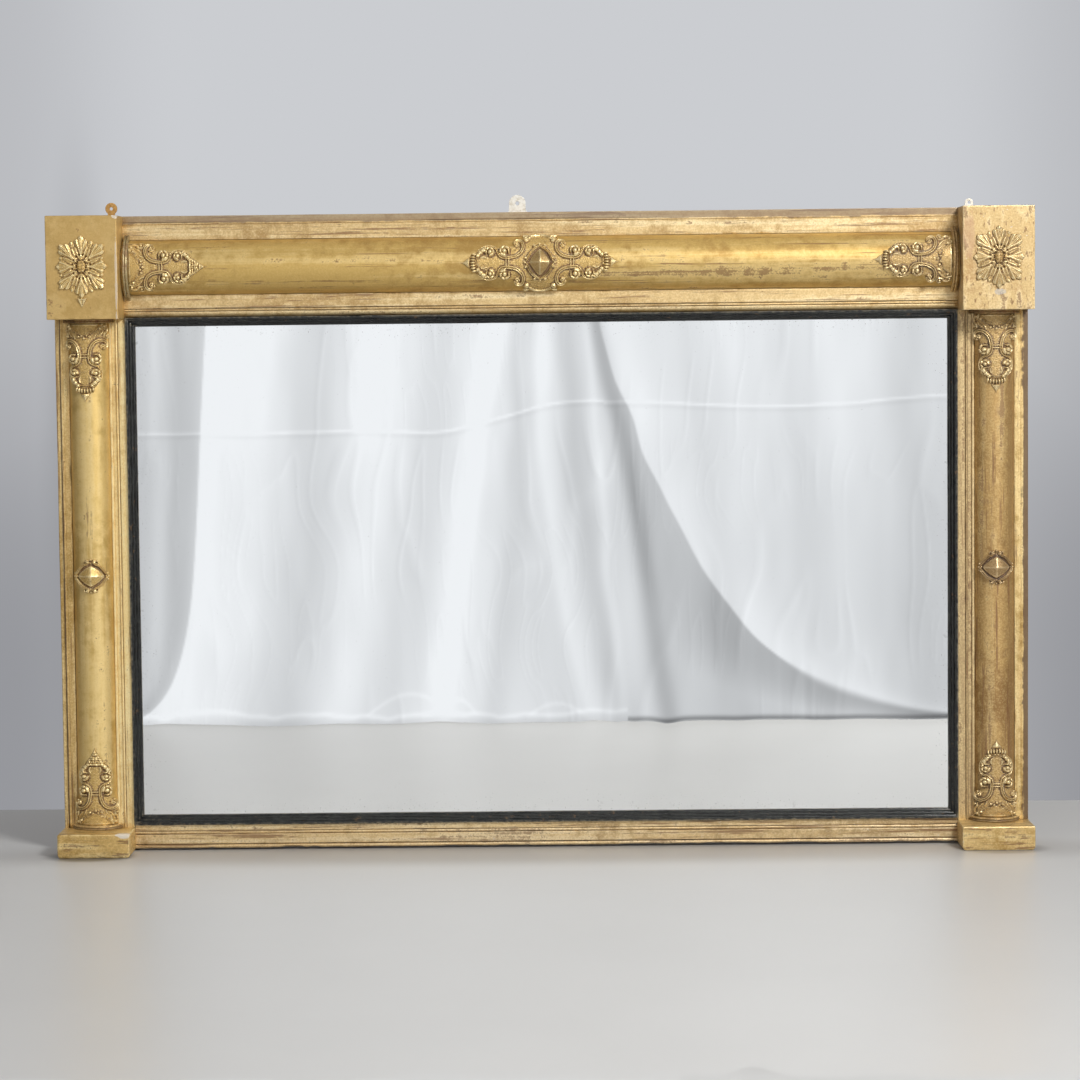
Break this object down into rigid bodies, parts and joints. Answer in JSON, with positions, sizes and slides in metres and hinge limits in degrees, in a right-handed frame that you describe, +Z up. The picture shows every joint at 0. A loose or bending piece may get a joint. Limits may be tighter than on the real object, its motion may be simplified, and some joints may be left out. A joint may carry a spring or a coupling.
{
  "type": "overmantel mirror",
  "caption": "Wide gilded wall mirror for over a fireplace, with half-round columns, corner blocks with rosettes, plinths, applied scroll ornaments and a black inner slip.",
  "frame": {"origin": "under the middle of the whole, at the height of the plinths' undersides and midway from front to back", "axes": "+X across to the viewer's right, +Y to the back (the wall), +Z up"},
  "size_m": [1.35, 0.107, 0.91],
  "materials": {
    "gilding": "softwood with gesso, red bole and worn gold leaf, satin",
    "dull_gilding": "softwood with gesso and rubbed, greenish bronze gilding",
    "pine": "bare aged pine",
    "ebonised_wood": "ebonised softwood, satin",
    "silvered_glass": "silvered plate glass, lightly foxed",
    "gilded_composition": "cast composition with worn gold leaf, satin",
    "dull_gilded_composition": "cast composition with rubbed, brownish gilding",
    "white_painted_steel": "iron plate, brushed white paint",
    "gilded_steel": "iron plate, gold paint",
    "steel": "plain steel, lightly tarnished"
  },
  "bodies": {
    "root": {"left_stile": "pine", "right_stile": "pine", "top_rail": "pine", "bottom_rail": "pine", "frieze_upper_moulding": "gilding", "frieze_lower_moulding": "gilding", "base_moulding": "gilding", "left_outer_moulding": "gilding", "left_inner_moulding": "gilding", "right_outer_moulding": "gilding", "right_inner_moulding": "gilding", "frieze_column": "gilding", "left_column": "gilding", "right_column": "gilding", "left_corner_block": "gilding", "right_corner_block": "gilding", "left_plinth": "gilding", "right_plinth": "gilding", "left_frieze_collar": "dull_gilding", "right_frieze_collar": "gilding", "left_neck_ring": "gilding", "right_neck_ring": "gilding", "left_base_ring": "gilding", "right_base_ring": "gilding", "slip_top": "ebonised_wood", "slip_bottom": "ebonised_wood", "slip_left": "ebonised_wood", "slip_right": "ebonised_wood", "mirror_plate": "silvered_glass", "glue_blocks": "pine", "backboard_1": "pine", "backboard_2": "pine", "backboard_3": "pine", "backboard_4": "pine", "backboard_5": "pine", "backboard_6": "pine", "frieze_centre_ornament": "gilded_composition", "left_frieze_ornament": "gilded_composition", "right_frieze_ornament": "gilded_composition", "left_column_top_ornament": "gilded_composition", "right_column_top_ornament": "dull_gilded_composition", "left_column_foot_ornament": "gilded_composition", "right_column_foot_ornament": "dull_gilded_composition", "left_side_boss": "dull_gilded_composition", "right_side_boss": "dull_gilded_composition", "left_rosette": "gilded_composition", "right_rosette": "dull_gilded_composition", "hanging_plate_centre": "white_painted_steel", "hanging_plate_left": "gilded_steel", "hanging_plate_right": "white_painted_steel", "plate_screws": "steel", "lap_screws": "steel"}
  },
  "joints": []
}
